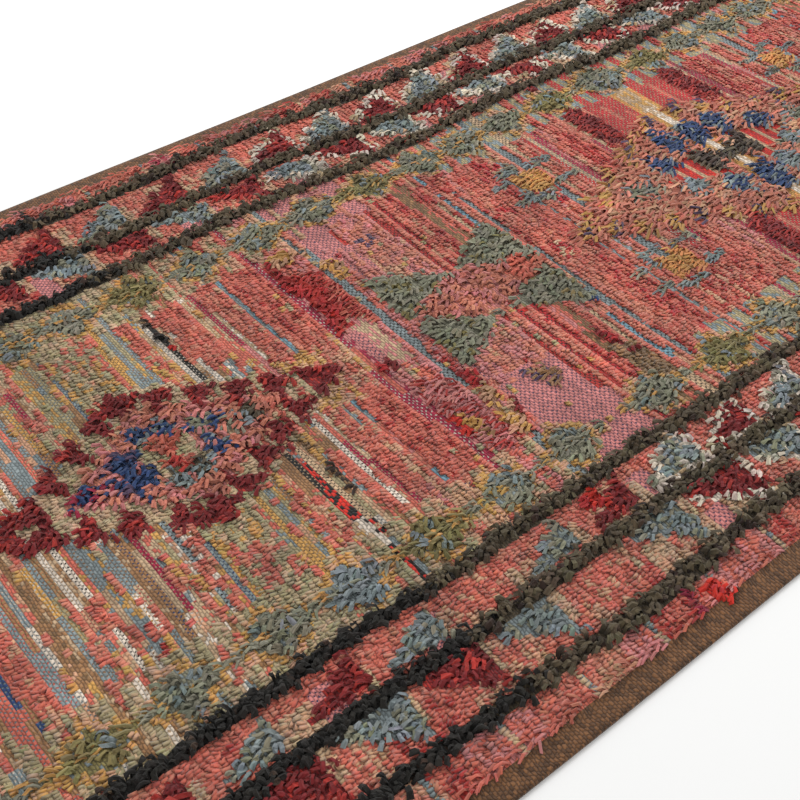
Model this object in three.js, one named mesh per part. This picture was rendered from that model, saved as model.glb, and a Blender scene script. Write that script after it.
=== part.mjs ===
// A hand-knotted rug lying flat, woven in one piece: brown selvages and end webs, a thick woven field, six long
// rows of dark rag pile, pile triangles and diamonds beside them, and five raised medallions down the middle.
// Millimetres, +Z up. X runs across the rug, Y along it, and the origin is under its centre.
import * as THREE from "three";

// Driving dimensions of the whole rug
const WIDTH = 1300;
const LENGTH = 3160;
const SELVAGE = 32;
const END_WEB = 30;
const EDGE_THICK = 5;
const GROUND_THICK = 9;
const UNEVEN = 0.7;
const EDGE_WANDER = 3;

// Rows of dark rag pile, left to right
const RAG_ROWS = [
  { x: -577, halfWidth: 19, height: 13 },
  { x: -472, halfWidth: 17, height: 12 },
  { x: -389, halfWidth: 16, height: 12 },
  { x: 384, halfWidth: 16, height: 12 },
  { x: 468, halfWidth: 17, height: 12 },
  { x: 564, halfWidth: 19, height: 13 },
];
const RAG_WANDER = 3;
const RAG_SHOULDER = 0.45;

// Columns of pile triangles between the rag rows: foot is the edge on which each triangle comes to its point,
// and top is the flat top of one of them
const TRIANGLE_COLUMNS = [
  { foot: -492, far: -552, top: -799, pitch: 110 },
  { foot: -450, far: -409, top: -797, pitch: 107 },
  { foot: 447, far: 405, top: -709, pitch: 110 },
  { foot: 490, far: 540, top: -572, pitch: 112 },
];
const TRIANGLE_LENGTH = 86;
const TRIANGLE_HEIGHT = 6;

// Columns of pile diamonds beside the field
const DIAMOND_COLUMNS = [
  { x: -325, first: -1524, pitch: 107 },
  { x: 325, first: -1514, pitch: 121 },
];
const DIAMOND = { halfWidth: 33, halfLength: 50, height: 7 };

// Medallions down the middle: how far each stands from the rug's centre, its half sizes and its pile height
const END_LOZENGE = { y: 1117, halfWidth: 150, halfLength: 268, height: 11, core: 0.6, coreHeight: 7 };
const HOURGLASS = { y: 588, halfWidth: 124, halfLength: 127, height: 10, waist: 0.5 };
const CENTRE_LOZENGE = { halfWidth: 188, halfLength: 390, height: 10, core: 0.55, coreHeight: 4 };
const CENTRE_FIGURE = { halfWidth: 32, halfLength: 80, height: 10 };

// How far inside its outline a patch of pile reaches its full height
const PILE_EDGE = 7;

// The grid that the upper face is worked on: feature lines across and along, and the widest cell between them
const FIELD_COLUMNS = [0, 31, 62, 93, 124, 156, 188, 232, 275];
const DIAMOND_COLUMN_LINES = [-31, 0, 31];
const FEATURE_ROWS = [0, 80, 390, 461, 588, 715, 849, 1117, 1385, 1549];
const WIDEST_ROW = 41;

// A small repeatable unevenness of the hand, between -1 and 1
const uneven = (a, b) => Math.sin(a * 2.4 + b * 5.1) * Math.cos(a * 1.1 - b * 3.7);

// The width of the cloth changes a little along it, as a hand-beaten edge does
const halfWidthAt = (y) => WIDTH / 2 - EDGE_WANDER * (0.5 - 0.5 * Math.cos((6 * Math.PI * y) / LENGTH));

// The share of full height that pile has at a distance inside its outline
const rise = (inside) => Math.min(Math.max(inside / PILE_EDGE, 0), 1);

// Distance inside a lozenge's outline, negative outside it
function insideLozenge(x, y, halfWidth, halfLength) {
  const slant = Math.hypot(halfWidth, halfLength);
  return (halfWidth * halfLength - Math.abs(x) * halfLength - Math.abs(y) * halfWidth) / slant;
}

// Distance inside a right-angled triangle with its flat top at y = 0 and its point below the foot
function insideTriangle(x, y, foot, far) {
  const width = Math.abs(far - foot);
  const across = (x - foot) * Math.sign(far - foot);
  const slant = Math.hypot(width, TRIANGLE_LENGTH);
  const toHypotenuse = ((y + TRIANGLE_LENGTH) * width - across * TRIANGLE_LENGTH) / slant;
  return Math.min(-y, across, toHypotenuse);
}

function ragHeight(x, y) {
  let height = 0;
  RAG_ROWS.forEach((row, index) => {
    const away = Math.abs(x - row.x) / row.halfWidth;
    const crest = row.height * (0.88 + 0.12 * Math.sin(y / 23 + 2 * index));
    const side = Math.min(Math.max((1 - away) / RAG_SHOULDER, 0), 1);
    height = Math.max(height, crest * side);
  });
  return height;
}

function triangleHeight(x, y) {
  let height = 0;
  for (const { foot, far, top, pitch } of TRIANGLE_COLUMNS) {
    const fromTop = ((((y - top) % pitch) + pitch) % pitch) - pitch;
    height = Math.max(height, TRIANGLE_HEIGHT * rise(insideTriangle(x, fromTop, foot, far)));
  }
  return height;
}

function diamondHeight(x, y) {
  const { halfWidth, halfLength, height } = DIAMOND;
  let highest = 0;
  for (const column of DIAMOND_COLUMNS) {
    const nearest = column.first + Math.round((y - column.first) / column.pitch) * column.pitch;
    const inside = insideLozenge(x - column.x, y - nearest, halfWidth, halfLength);
    highest = Math.max(highest, height * rise(inside));
  }
  return highest;
}

// A lozenge whose core is lower than its rim
function lozengeHeight(x, y, { halfWidth, halfLength, height, core, coreHeight }) {
  const outer = rise(insideLozenge(x, y, halfWidth, halfLength));
  const inner = rise(insideLozenge(x, y, halfWidth * core, halfLength * core));
  return outer * (height + (coreHeight - height) * inner);
}

// Four triangles about a waist, with a tall lozenge between them
function hourglassHeight(x, y) {
  const { halfWidth, halfLength, height, waist } = HOURGLASS;
  const offWaist = Math.abs(Math.abs(x) - halfWidth * waist);
  const reach = (Math.abs(y) / halfLength) * halfWidth * (1 - waist);
  const triangle = Math.min(reach - offWaist, halfLength - Math.abs(y) + PILE_EDGE);
  const between = insideLozenge(x, y, halfWidth * 0.46, halfLength * 0.9);
  return height * Math.max(rise(triangle), rise(between));
}

function figureHeight(x, y) {
  const { halfWidth, halfLength, height } = CENTRE_FIGURE;
  const reach = (Math.abs(y) / halfLength) * halfWidth;
  return height * rise(Math.min(reach + PILE_EDGE - Math.abs(x), halfLength + PILE_EDGE - Math.abs(y)));
}

// Height of the upper face at a place in the field
function topAt(x, y) {
  const pile = Math.max(
    ragHeight(x, y),
    triangleHeight(x, y),
    diamondHeight(x, y),
    lozengeHeight(x, Math.abs(y) - END_LOZENGE.y, END_LOZENGE),
    hourglassHeight(x, Math.abs(y) - HOURGLASS.y),
    lozengeHeight(x, y, CENTRE_LOZENGE),
    figureHeight(x, y),
  );
  return GROUND_THICK + UNEVEN * uneven(x / 97, y / 61) + pile;
}

// Lines across the rug, from its left edge to its right one
function columnLines() {
  const lines = FIELD_COLUMNS.flatMap((x) => (x === 0 ? [0] : [-x, x]));
  for (const { x } of DIAMOND_COLUMNS) lines.push(...DIAMOND_COLUMN_LINES.map((shift) => x + shift));
  for (const { x, halfWidth } of RAG_ROWS) {
    lines.push(x - halfWidth, x - halfWidth * 0.5, x + halfWidth * 0.5, x + halfWidth);
  }
  for (const { foot, far } of TRIANGLE_COLUMNS) lines.push((2 * foot + far) / 3);
  const edge = WIDTH / 2 - SELVAGE;
  lines.push(-WIDTH / 2, -edge, 8 - edge, edge - 8, edge, WIDTH / 2);
  return lines.sort((a, b) => a - b);
}

// Lines along the rug, from its near end to its far one
function rowLines() {
  const half = [];
  FEATURE_ROWS.slice(1).forEach((far, index) => {
    const near = FEATURE_ROWS[index];
    const count = Math.ceil((far - near) / WIDEST_ROW);
    for (let k = 1; k <= count; k += 1) half.push(near + ((far - near) * k) / count);
  });
  half.push(LENGTH / 2 - 24, LENGTH / 2);
  return [...half.map((y) => -y).reverse(), 0, ...half];
}

// One closed body: the worked upper face, the flat underside, and the walls round the edge
function rugGeometry() {
  const xs = columnLines();
  const ys = rowLines();
  const across = xs.length;
  const along = ys.length;
  const points = [];
  const atEdge = (x, y) => Math.abs(x) > WIDTH / 2 - SELVAGE - 1 || Math.abs(y) > LENGTH / 2 - END_WEB + 1;
  for (const y of ys) {
    for (const x of xs) {
      const outward = (x * halfWidthAt(y)) / (WIDTH / 2);
      const wander = Math.abs(x) < WIDTH / 2 - SELVAGE ? RAG_WANDER * Math.sin(y / 83) : 0;
      points.push([outward + wander, y, atEdge(x, y) ? EDGE_THICK : topAt(x, y)]);
    }
  }
  const faces = [];
  for (let j = 0; j < along - 1; j += 1) {
    for (let i = 0; i < across - 1; i += 1) {
      const a = j * across + i;
      const b = a + across;
      if ((i + j) % 2) faces.push(a, a + 1, b + 1, a, b + 1, b);
      else faces.push(a, a + 1, b, a + 1, b + 1, b);
    }
  }
  // The rim of the underside follows the rim of the upper face, and one line of points runs down its middle
  const rim = [];
  for (let i = 0; i < across - 1; i += 1) rim.push(i);
  for (let j = 0; j < along - 1; j += 1) rim.push(j * across + across - 1);
  for (let i = across - 1; i > 0; i -= 1) rim.push((along - 1) * across + i);
  for (let j = along - 1; j > 0; j -= 1) rim.push(j * across);
  const firstUnder = points.length;
  for (const index of rim) points.push([points[index][0], points[index][1], 0]);
  rim.forEach((top, k) => {
    const next = (k + 1) % rim.length;
    faces.push(firstUnder + k, firstUnder + next, rim[next]);
    faces.push(firstUnder + k, rim[next], top);
  });
  const firstMiddle = points.length;
  for (let j = 1; j < along - 1; j += 1) points.push([0, ys[j], 0]);
  const middleAt = (j) => firstMiddle + Math.min(Math.max(j, 1), along - 2) - 1;
  const rightAt = (j) => firstUnder + across - 1 + j;
  const leftAt = (j) => firstUnder + ((rim.length - j) % rim.length);
  for (let j = 1; j < along - 2; j += 1) {
    faces.push(middleAt(j), middleAt(j + 1), rightAt(j + 1), middleAt(j), rightAt(j + 1), rightAt(j));
    faces.push(leftAt(j), leftAt(j + 1), middleAt(j + 1), leftAt(j), middleAt(j + 1), middleAt(j));
  }
  for (let i = 0; i < across - 1; i += 1) faces.push(middleAt(1), firstUnder + i + 1, firstUnder + i);
  faces.push(middleAt(1), rightAt(1), rightAt(0), leftAt(1), middleAt(1), leftAt(0));
  const farEnd = across - 1 + along - 1;
  for (let i = 0; i < across - 1; i += 1) {
    faces.push(middleAt(along), firstUnder + farEnd + i + 1, firstUnder + farEnd + i);
  }
  faces.push(middleAt(along), rightAt(along - 1), rightAt(along - 2));
  faces.push(middleAt(along), leftAt(along - 2), leftAt(along - 1));
  const geometry = new THREE.BufferGeometry();
  geometry.setAttribute("position", new THREE.Float32BufferAttribute(points.flat(), 3));
  geometry.setIndex(faces);
  geometry.computeVertexNormals();
  return geometry;
}

const coralWool = new THREE.MeshStandardMaterial({ color: 0xb0645a, roughness: 0.95, metalness: 0 });

const cloth = new THREE.Mesh(rugGeometry(), coralWool);
cloth.name = "rug";

const rug = new THREE.Group();
rug.add(cloth);

export default rug;
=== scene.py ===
import math
import bpy
import numpy as np
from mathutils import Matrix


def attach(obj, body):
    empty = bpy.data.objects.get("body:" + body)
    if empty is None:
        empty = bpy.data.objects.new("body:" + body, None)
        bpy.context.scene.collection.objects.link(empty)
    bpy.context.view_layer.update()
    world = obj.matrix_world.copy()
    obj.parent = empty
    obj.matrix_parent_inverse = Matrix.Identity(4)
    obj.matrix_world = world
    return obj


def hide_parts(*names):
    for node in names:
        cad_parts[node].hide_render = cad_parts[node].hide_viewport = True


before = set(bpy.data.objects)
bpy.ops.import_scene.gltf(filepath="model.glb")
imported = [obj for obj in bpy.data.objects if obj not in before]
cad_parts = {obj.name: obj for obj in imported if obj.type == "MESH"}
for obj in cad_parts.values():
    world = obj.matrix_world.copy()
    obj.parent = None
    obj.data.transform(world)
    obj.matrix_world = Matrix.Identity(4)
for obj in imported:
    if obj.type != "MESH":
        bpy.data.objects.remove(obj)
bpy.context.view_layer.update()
print("rug frame loaded")

# what stands at a place: weave, low knots, yarn, cut rag, a row of rag, or weave with its other wool showing as dots
plain, knot, shag, cut, rope, dots = range(6)

rugCloth = {
    "width": 1.300, "length": 3.160,
    "selvage": 0.032, "endWeb": 0.030,
    "selvageBeads": 4, "fieldBeads": 132,       # a bead is one knot or one weft float, 9.4 mm wide
    "webCourses": 4, "fieldCourses": 370,       # a course is one row of knots or two picks of plain weave
    "edgeThick": 0.0048, "fieldThick": 0.0078,
    "edgeWander": 0.003, "rowWander": 0.003, "weftWave": 0.0035,
    "seed": 11,
}
rugWidth, rugLength = rugCloth["width"], rugCloth["length"]

# wool and rag colours, as sRGB
wool = {
    "coral": "#c66553", "salmon": "#c77a64", "rose": "#c57a76", "peach": "#c69676",
    "cream": "#bd9f7e", "white": "#d8c9b8", "sage": "#888672", "sageCream": "#a29470",
    "gold": "#c3934f", "greyBlue": "#808a8b", "lightBlue": "#6f92a0", "navy": "#2c4470",
    "crimson": "#7c2022", "brick": "#a93029", "magenta": "#98213c", "red": "#b02a2c",
    "scarlet": "#cf2f22", "orange": "#d68f52", "brown": "#7d5f40", "darkBrown": "#3a2b22",
    "black": "#1f1c18", "olive": "#584c3a", "tan": "#99704b", "plum": "#54405a",
    "edgeBrown": "#7b5536", "edgeDark": "#5f422b", "oliveSage": "#857a4c",
}
# a wool is known by its place in that list
(coral, salmon, rose, peach, cream, white, sage, sageCream, gold, greyBlue, lightBlue, navy, crimson, brick, magenta,
 red, scarlet, orange, brown, darkBrown, black, olive, tan, plum, edgeBrown, edgeDark, oliveSage) = range(len(wool))

fieldWidth = rugWidth - 2 * rugCloth["selvage"]
fieldLength = rugLength - 2 * rugCloth["endWeb"]
beads, courses = rugCloth["fieldBeads"], rugCloth["fieldCourses"]
beadPitch, coursePitch = fieldWidth / beads, fieldLength / courses
dice = np.random.default_rng(rugCloth["seed"])

# the chart is drawn coarser than the real pattern: its smallest mark is a bead wide and a course long. Places in it
# are in rug widths: across from the middle line, and along from a line 1.25 widths before the middle medallion,
# about which the field is mirrored
chartPlan = {
    "middle": 1.25, "mixedEnd": 0.53, "bordersEnd": 2.48,
    "columnAcross": 0.25, "columnHalf": 0.042, "outerStrip": 0.438,
    "fanWidth": 0.038, "fanSpread": 1.5,       # metres across a fan of yarn, and how far it opens in radians
}
middle, mixedEnd = chartPlan["middle"], chartPlan["mixedEnd"]
across = (np.arange(beads) + 0.5 - beads / 2) * beadPitch / rugWidth
along = middle + (np.arange(courses) + 0.5 - courses / 2) * coursePitch / rugWidth
acrossAt, alongAt = np.meshgrid(across, along)
mirrored = np.where(alongAt > middle, 2 * middle - alongAt, alongAt)

kind = np.zeros((courses, beads), int)
first = np.zeros((courses, beads), int)
second = np.zeros((courses, beads), int)
share = np.zeros((courses, beads))
dotted = np.zeros((courses, beads))
fanCourse = np.arange(courses)[:, None] // 3
fanShift = np.random.default_rng(9).uniform(0, 1, courses)[fanCourse]
longer = np.ones((courses, beads))        # how far the yarn of a tuft is left uncut
fanPlace = acrossAt * rugWidth / chartPlan["fanWidth"] + fanShift
spray = (fanPlace % 1 - 0.5) * chartPlan["fanSpread"]     # radians, across each fan


def drift(scale, amount, seed):   # smooth seeded noise over the chart
    r = np.random.default_rng(seed)
    n = (int(courses / scale) + 3, int(beads / scale) + 3)
    g = r.uniform(-amount, amount, n)
    j, i = np.arange(courses) / scale, np.arange(beads) / scale
    j0, i0 = j.astype(int), i.astype(int)
    fj, fi = (j - j0)[:, None], (i - i0)[None, :]
    fj, fi = fj * fj * (3 - 2 * fj), fi * fi * (3 - 2 * fi)
    a = g[j0][:, i0] * (1 - fi) + g[j0][:, i0 + 1] * fi
    b = g[j0 + 1][:, i0] * (1 - fi) + g[j0 + 1][:, i0 + 1] * fi
    return a * (1 - fj) + b * fj


bandDrift = drift(26, 0.0055, 3)      # bands wander along the rug
edgeDrift = drift(1.2, 0.016, 4)      # edges of motifs step by a knot or so


def paint(mask, what, main, other, percent=40):   # so many percent of it are of the other wool
    kind[mask] = plain if what == dots else what
    first[mask], second[mask] = main, other
    share[mask], dotted[mask] = percent / 100, what == dots


def box(x0, x1, y0, y1, ragged=1.0, fold=True):
    y = (mirrored if fold else alongAt) + bandDrift
    x = acrossAt + ragged * edgeDrift
    return (x >= x0) & (x < x1) & (y >= y0) & (y < y1)


def lozenge(x0, y0, halfWidth, halfLength, ragged=0.35):
    return np.abs(acrossAt + ragged * edgeDrift - x0) / halfWidth + np.abs(mirrored - y0) / halfLength < 1


def wedge(tip, base, y0, y1):   # a triangle with its tip at y0 and its base at y1, whose tufts fan out
    slack = 0.0015
    t = (mirrored - y0) / (y1 - y0)
    left, right = tip + (base[0] - tip) * t, tip + (base[1] - tip) * t
    inside = (t > 0) & (t <= 1) & (acrossAt >= left - slack) & (acrossAt <= right + slack)
    spray[inside] = 1.3 * ((acrossAt - (base[0] + base[1]) / 2) / (base[1] - base[0]))[inside]
    return inside


# weft stripes of the field: start in thousandths of the width, kind, main wool, other wool and its share in percent
stripes = [
    (50, dots, tan, coral), (68, knot, coral, salmon), (82, dots, greyBlue, white, 50), (90, plain, tan, cream),
    (100, dots, coral, greyBlue, 50), (118, dots, navy, greyBlue, 50), (128, knot, coral, peach),
    (150, dots, greyBlue, coral), (158, dots, white, greyBlue), (166, plain, coral, peach, 30),
    (176, plain, tan, brown, 30), (182, plain, tan, cream, 30), (189, dots, greyBlue, tan, 50),
    (197, dots, tan, sageCream, 50), (206, dots, white, cream), (212, plain, tan, cream, 50),
    (217, dots, white, black, 30), (223, plain, coral, tan), (232, dots, greyBlue, tan),
    (240, plain, greyBlue, greyBlue, 50), (248, dots, coral, sageCream, 50), (254, dots, greyBlue, tan),
    (261, plain, tan, cream), (268, dots, tan, navy, 25), (275, plain, cream, white), (279, plain, tan, greyBlue),
    (285, dots, magenta, cream, 30), (290, plain, cream, coral, 30), (303, plain, sageCream, gold),
    (313, dots, greyBlue, black, 30), (319, dots, sageCream, greyBlue), (326, plain, tan, tan, 50),
    (334, dots, greyBlue, navy, 30), (342, knot, gold, sageCream, 50), (352, knot, sageCream, cream, 35),
    (397, plain, coral, sageCream, 30), (402, dots, gold, brown, 45), (411, dots, greyBlue, sageCream, 30),
    (421, plain, sageCream, gold), (429, dots, greyBlue, tan, 50), (435, knot, coral, gold, 35),
    (443, plain, peach, coral, 50), (450, plain, cream, gold, 35), (458, plain, white, cream, 35),
    (464, plain, black, scarlet, 35), (469, plain, white, black, 30), (474, dots, cream, coral),
    (479, dots, white, greyBlue, 35), (485, plain, tan, peach), (492, plain, coral, brown), (500, plain, tan, coral),
    (508, plain, tan, peach, 30), (514, dots, white, black, 35), (521, plain, cream, coral),
    (526, dots, magenta, cream, 35), (533, plain, cream, white, 30), (538, knot, coral, peach, 25),
    (555, plain, greyBlue, cream), (562, knot, coral, peach, 30), (568, plain, lightBlue, greyBlue),
    (574, dots, peach, plum, 30), (580, knot, coral, salmon, 25), (617, dots, magenta, white, 35),
    (626, plain, magenta, rose, 50), (632, knot, rose, coral, 50), (675, dots, greyBlue, black, 35),
    (687, knot, rose, coral, 45), (705, dots, rose, plum, 25), (712, knot, salmon, rose, 45),
    (728, dots, rose, plum, 30), (736, knot, salmon, peach, 35), (758, dots, rose, plum, 30),
    (766, knot, salmon, rose, 45), (788, dots, brick, black, 30), (796, knot, coral, salmon, 50),
    (806, dots, red, black, 35), (812, knot, coral, salmon, 35), (824, dots, red, darkBrown, 30),
    (832, knot, coral, brick, 35), (842, plain, brown, tan), (849, plain, coral, brown, 30),
    (855, dots, brown, coral, 30), (862, knot, coral, salmon, 30), (870, dots, cream, black, 35),
    (879, knot, coral, salmon, 35), (886, dots, lightBlue, black, 30), (893, knot, coral, salmon, 30),
    (902, dots, greyBlue, black, 30), (911, knot, coral, salmon, 35), (955, knot, coral, brick, 25),
    (972, plain, greyBlue, coral, 50), (980, knot, coral, salmon), (990, plain, tan, greyBlue, 50),
    (998, knot, coral, salmon, 35), (1012, dots, greyBlue, black, 30), (1022, knot, coral, salmon, 30),
    (1032, dots, cream, black, 30), (1040, knot, coral, salmon, 35), (1056, dots, brick, white),
    (1064, dots, cream, greyBlue), (1072, dots, magenta, cream), (1080, knot, coral, salmon, 35),
    (1125, dots, magenta, cream, 50), (1135, plain, cream, coral), (1143, knot, coral, brick),
    (1172, dots, red, cream, 45), (1230, plain, gold, orange), (1240, plain, cream, gold, 35),
]
stripesEnd = 1260
stops = [stripe[0] for stripe in stripes[1:]] + [stripesEnd]
for (start, *looks), stop in zip(stripes, stops):
    paint(box(-0.6, 0.6, start / 1000, stop / 1000, 0), *looks)

# the weaver changes yarn part way along a course, and knots short coral runs into the stripes
joins = [tan, cream, gold, greyBlue, sageCream, peach, coral, white]
warmJoins = [salmon, rose, peach, coral, coral, brick]
knotRuns = [coral, coral, gold, sageCream, coral, peach, coral]
fieldRuns = [brick, rose, salmon, peach, salmon, salmon, peach, rose]


def rolled(wools):   # one wool of a list
    return wools[dice.integers(0, len(wools))]


def runOf(margin, shortest, longest):   # a few beads of a course, clear of the margins
    start, length = dice.integers(margin, beads - margin), dice.integers(shortest, longest)
    return slice(start, start + length)


for j in range(courses):
    endward = mirrored[j, 0] < mixedEnd
    for n in range(5 if endward else 2):
        run = runOf(0, 3, 15)
        weave = kind[j, run] == plain
        first[j, run][weave] = rolled(joins if endward else warmJoins)
        second[j, run][weave] = rolled(joins if endward else warmJoins)
    if endward:
        for n in range(dice.integers(2, 7)):
            run = runOf(20, 1, 6)
            kind[j, run], share[j, run], dotted[j, run] = knot, 0.3, 0
            first[j, run], second[j, run] = knotRuns[n], salmon

# patches laid over the stripes: from x to x and from y to y in thousandths, then as for the stripes
patches = [
    # near the first medallion
    (80, 210, 198, 205, knot, coral, salmon), (105, 205, 222, 232, knot, coral, salmon),
    (125, 210, 246, 253, knot, coral, brick, 30), (120, 210, 303, 310, knot, coral, salmon),
    (100, 210, 322, 331, knot, coral, salmon, 30), (155, 210, 345, 397, knot, coral, salmon, 25),
    (100, 155, 352, 397, knot, sageCream, gold, 35), (125, 150, 365, 392, knot, gold, sageCream, 35),
    (-205, -115, 352, 397, knot, sageCream, gold, 30), (-150, -118, 355, 392, knot, gold, sageCream),
    (-205, -175, 330, 400, knot, coral, sageCream, 50), (-150, -120, 290, 300, knot, coral, salmon, 30),
    (-210, -120, 435, 450, knot, coral, sageCream, 30), (115, 210, 430, 437, knot, coral, salmon, 30),
    (130, 210, 443, 456, knot, coral, peach, 30), (-210, -100, 485, 513, knot, coral, salmon, 30),
    (-210, -30, 538, 560, knot, coral, salmon, 20), (100, 210, 503, 516, knot, coral, salmon, 35),
    (90, 210, 534, 562, knot, coral, salmon, 20), (60, 100, 490, 503, knot, brown, gold),
    (115, 150, 487, 495, cut, darkBrown, brown), (-300, -45, 574, 617, knot, coral, brick, 15),
    (50, 210, 574, 617, knot, coral, brick, 15), (-45, 50, 538, 617, knot, peach, gold, 45),
    (-45, 50, 590, 612, knot, coral, peach),
    # the black stripe that meets the medallion, and its neighbours
    (-200, -135, 463.5, 470.5, cut, black, darkBrown, 15), (-150, -45, 463.5, 470.5, dots, black, white),
    (-142, -130, 463.5, 470.5, cut, scarlet, black, 30), (40, 140, 463.5, 470.5, dots, black, cream),
    (100, 205, 470.5, 477, plain, black, scarlet, 50), (-200, -60, 456, 463, dots, white, greyBlue, 30),
    (50, 205, 477, 483, dots, cream, black, 30),
    # the shaggy band before the hourglass
    (-145, -30, 652, 676, shag, brick, coral, 45), (-200, -50, 627, 652, cut, brick, red, 45),
    (-205, -145, 640, 676, knot, coral, rose), (-95, -68, 628, 650, cut, scarlet, red, 20),
    (-50, 50, 640, 668, plain, cream, rose), (-45, 45, 634, 643, dots, rose, plum),
    (22, 42, 625, 645, cut, red, crimson), (85, 205, 634, 672, shag, rose, brick),
    (50, 85, 640, 672, knot, coral, rose), (117, 135, 626, 642, cut, scarlet, red, 10),
    (145, 156, 626, 638, cut, scarlet, red, 10), (166, 182, 624, 638, cut, scarlet, red, 10),
    (142, 175, 640, 652, cut, gold, tan, 30), (125, 155, 678, 698, cut, peach, gold),
    (165, 200, 672, 697, cut, peach, gold), (102, 114, 683, 700, cut, red, crimson, 30),
    (163, 180, 697, 710, cut, crimson, red, 30), (-155, -115, 678, 700, cut, gold, peach),
    (-205, -185, 640, 680, cut, peach, gold), (50, 100, 683, 700, knot, brick, rose),
    # the rose field beside the hourglass
    (130, 300, 702, 785, dots, rose, plum, 42), (60, 140, 722, 785, knot, rose, salmon, 50),
    (-300, -160, 690, 730, dots, rose, plum, 42), (60, 130, 708, 728, knot, salmon, rose),
    (-210, -100, 735, 788, knot, salmon, rose, 35), (-165, -140, 743, 765, knot, salmon, plum, 30),
    (150, 165, 742, 775, shag, tan, plum, 30), (115, 128, 728, 738, knot, magenta, coral),
    (-158, -148, 706, 716, knot, red, coral, 30), (-200, -75, 826, 840, knot, brick, coral),
    (150, 178, 852, 866, cut, crimson, red, 30), (132, 140, 850, 862, cut, crimson, red, 30),
    (175, 245, 842, 878, knot, brown, tan, 30), (58, 66, 815, 823, cut, scarlet, red, 10),
    # the coral field before the middle medallion
    (-285, 80, 915, 958, knot, coral, salmon, 30), (-105, -96, 918, 942, knot, red, brick, 30),
    (-205, -175, 860, 940, knot, brick, coral, 50), (50, 200, 945, 962, knot, coral, red, 35),
    (-120, 50, 958, 962, knot, coral, red, 30), (100, 210, 985, 1100, knot, coral, brick, 20),
    (-200, -150, 955, 990, knot, coral, red), (-72, -63, 995, 1012, knot, red, crimson, 20),
    (-285, -200, 1080, 1120, knot, coral, red, 30), (40, 300, 1085, 1128, knot, coral, salmon, 30),
    (-285, -50, 1095, 1120, knot, coral, brick, 30), (110, 290, 1140, 1172, shag, crimson, brick, 45),
    (-290, -120, 1140, 1172, shag, crimson, brick, 45),
]
gaps = dice.random((courses, beads)) < 0.40
for x0, x1, y0, y1, *looks in patches:
    broken = looks[0] == knot and y1 < 470      # towards the ends the stripes show between the knots
    paint(box(x0 / 1000, x1 / 1000, y0 / 1000, y1 / 1000) & ~(gaps & broken), *looks)
for j in range(courses):       # runs of other reds and pinks along the knotted courses
    if mirrored[j, 0] > mixedEnd:
        for n in range(dice.integers(0, 5)):
            run = runOf(14, 3, 18)
            first[j, run][kind[j, run] == knot] = rolled(fieldRuns)

# light specks in the rose weave
roseField = (mirrored > 0.60) & (mirrored < 0.82) & (np.abs(acrossAt) > 0.05)
paint(roseField & (dice.random((courses, beads)) < 0.03) & (kind <= knot), knot, sageCream, gold)

# sage columns at the sides of the field: where each tuft lozenge stands on the left and on the right
columnPlaces = {
    -1: (0.075, 0.160, 0.243, 0.325, 0.400, 0.483, 0.567, 0.655, 0.740, 0.825, 0.912, 0.985, 1.07, 1.155, 1.24),
    1: (0.055, 0.150, 0.240, 0.335, 0.422, 0.515, 0.608, 0.705, 0.830, 0.935, 1.030, 1.120, 1.215),
}
# their ground: from y to y, how often and how much of it shows, kind, two wools, share
columnGrounds = [
    (0, 0.52, 260, -0.35, knot, sageCream, cream, 35), (0.52, 0.70, 190, -0.1, knot, peach, sageCream),
    (0.70, 0.80, 170, -0.2, dots, rose, plum), (0.93, 1.26, 210, -0.2, plain, sageCream, greyBlue),
]
columnTones = (sage, oliveSage, sage, sage)
for side, places in columnPlaces.items():
    x0 = side * chartPlan["columnAcross"]
    ground = np.abs(acrossAt - x0 + 0.25 * edgeDrift) < chartPlan["columnHalf"]
    for y0, y1, often, least, *looks in columnGrounds:
        paint(ground & (mirrored >= y0) & (mirrored < y1) & (np.sin(alongAt * often) > least), *looks)
    for k, y0 in enumerate(places):
        tone = columnTones[k % 4]
        paint(lozenge(x0, y0, 0.036, 0.050), knot, gold, peach, 35)
        paint(lozenge(x0, y0, 0.027, 0.038), cut, greyBlue if (side == 1 and k == 4) else tone, greyBlue, 18)
        paint((np.abs(acrossAt - x0) < 0.005) & (np.abs(mirrored - y0) < 0.05), shag, tone, gold, 20)

# medallion near each end: crimson teeth round rose rag and a lumpy core
paint(lozenge(0, 0.391, 0.113, 0.200), knot, cream, sageCream, 35)
checkered = (mirrored > 0.43) & (np.sin(mirrored * 330) > 0.3)
paint(lozenge(0, 0.391, 0.113, 0.200) & checkered, knot, coral, peach, 30)
paint(lozenge(0, 0.385, 0.080, 0.135), cut, salmon, rose)
paint(box(-0.032, 0.032, 0.348, 0.408, 0.5), knot, sageCream, cream, 30)
# its lumps of rag in thousandths: place across and along, half width, half length, then two wools
lumps = [
    (-18, 330, 20, 26, navy, plum), (18, 332, 20, 26, navy, plum), (0, 285, 13, 30, navy, magenta),
    (-40, 362, 13, 18, navy, greyBlue), (-40, 390, 13, 18, navy, greyBlue), (35, 365, 16, 16, greyBlue, olive),
    (35, 392, 16, 20, greyBlue, olive), (-20, 428, 17, 26, sage, navy), (20, 422, 15, 20, navy, greyBlue),
    (4, 445, 12, 16, sage, cream), (-2, 472, 18, 22, olive, greyBlue), (0, 498, 20, 14, salmon, coral),
    (-15, 378, 16, 24, coral, brick), (15, 380, 14, 18, coral, brick),
]
for *place, main, other in lumps:
    paint(lozenge(*np.array(place) / 1000), cut, main, other, 25)
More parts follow.
